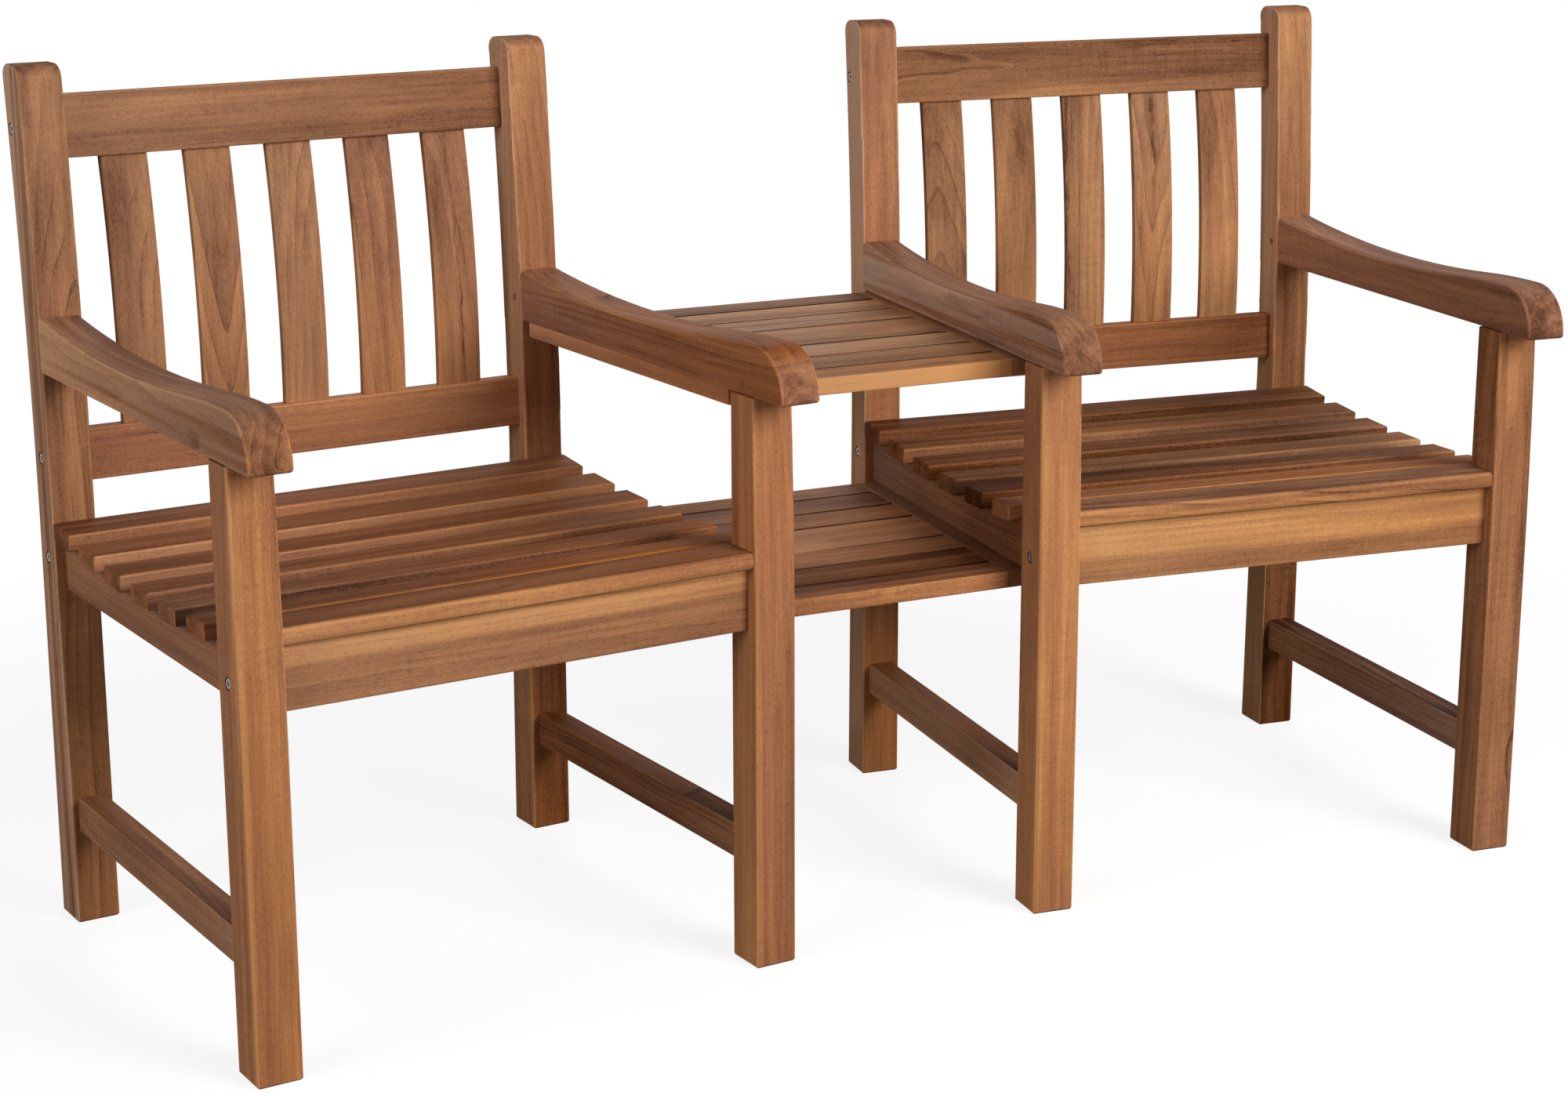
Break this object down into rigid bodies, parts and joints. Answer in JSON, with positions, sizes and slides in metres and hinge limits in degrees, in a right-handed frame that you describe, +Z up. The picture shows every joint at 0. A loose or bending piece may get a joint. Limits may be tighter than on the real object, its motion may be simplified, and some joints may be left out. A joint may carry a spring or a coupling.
{
  "type": "companion seat bench",
  "caption": "Hardwood garden companion bench: slatted armchairs turned towards each other and joined by a tapering table with an upper and a lower slatted tier.",
  "frame": {"origin": "on the floor, under the middle of the bench's overall width and depth", "axes": "+X along the bench from the left chair to the right chair as a person facing the bench sees them, -Y the way the sitters face, +Z up"},
  "size_m": [1.5964, 0.6736, 0.916],
  "materials": {
    "frame_wood": "satin oiled",
    "slat_wood": "satin oiled",
    "table_wood": "satin oiled",
    "peg_wood": "satin oiled",
    "hardware_steel": "satin"
  },
  "bodies": {
    "root": {"left_arm_pegs": "peg_wood", "left_back_slats": "slat_wood", "left_barrel_nuts": "hardware_steel", "left_frame_bolts": "hardware_steel", "left_front_rail": "frame_wood", "left_front_slat": "slat_wood", "left_lower_back_rail": "frame_wood", "left_outer_arm": "frame_wood", "left_outer_back_post": "frame_wood", "left_outer_front_leg": "frame_wood", "left_outer_seat_rail": "frame_wood", "left_outer_stretcher": "frame_wood", "left_rear_rail": "frame_wood", "left_seat_slat_1": "slat_wood", "left_seat_slat_2": "slat_wood", "left_seat_slat_3": "slat_wood", "left_seat_slat_4": "slat_wood", "left_seat_slat_5": "slat_wood", "left_seat_slat_6": "slat_wood", "left_slat_dowels": "peg_wood", "left_table_arm": "frame_wood", "left_table_back_post": "frame_wood", "left_table_front_leg": "frame_wood", "left_table_seat_rail": "frame_wood", "left_table_stretcher": "frame_wood", "left_top_rail": "frame_wood", "lower_table_left_rail": "table_wood", "lower_table_right_rail": "table_wood", "lower_table_slats": "table_wood", "right_arm_pegs": "peg_wood", "right_back_slats": "slat_wood", "right_barrel_nuts": "hardware_steel", "right_frame_bolts": "hardware_steel", "right_front_rail": "frame_wood", "right_front_slat": "slat_wood", "right_lower_back_rail": "frame_wood", "right_outer_arm": "frame_wood", "right_outer_back_post": "frame_wood", "right_outer_front_leg": "frame_wood", "right_outer_seat_rail": "frame_wood", "right_outer_stretcher": "frame_wood", "right_rear_rail": "frame_wood", "right_seat_slat_1": "slat_wood", "right_seat_slat_2": "slat_wood", "right_seat_slat_3": "slat_wood", "right_seat_slat_4": "slat_wood", "right_seat_slat_5": "slat_wood", "right_seat_slat_6": "slat_wood", "right_slat_dowels": "peg_wood", "right_table_arm": "frame_wood", "right_table_back_post": "frame_wood", "right_table_front_leg": "frame_wood", "right_table_seat_rail": "frame_wood", "right_table_stretcher": "frame_wood", "right_top_rail": "frame_wood", "table_screws": "hardware_steel", "upper_table_left_rail": "table_wood", "upper_table_right_rail": "table_wood", "upper_table_slats": "table_wood"}
  },
  "joints": []
}
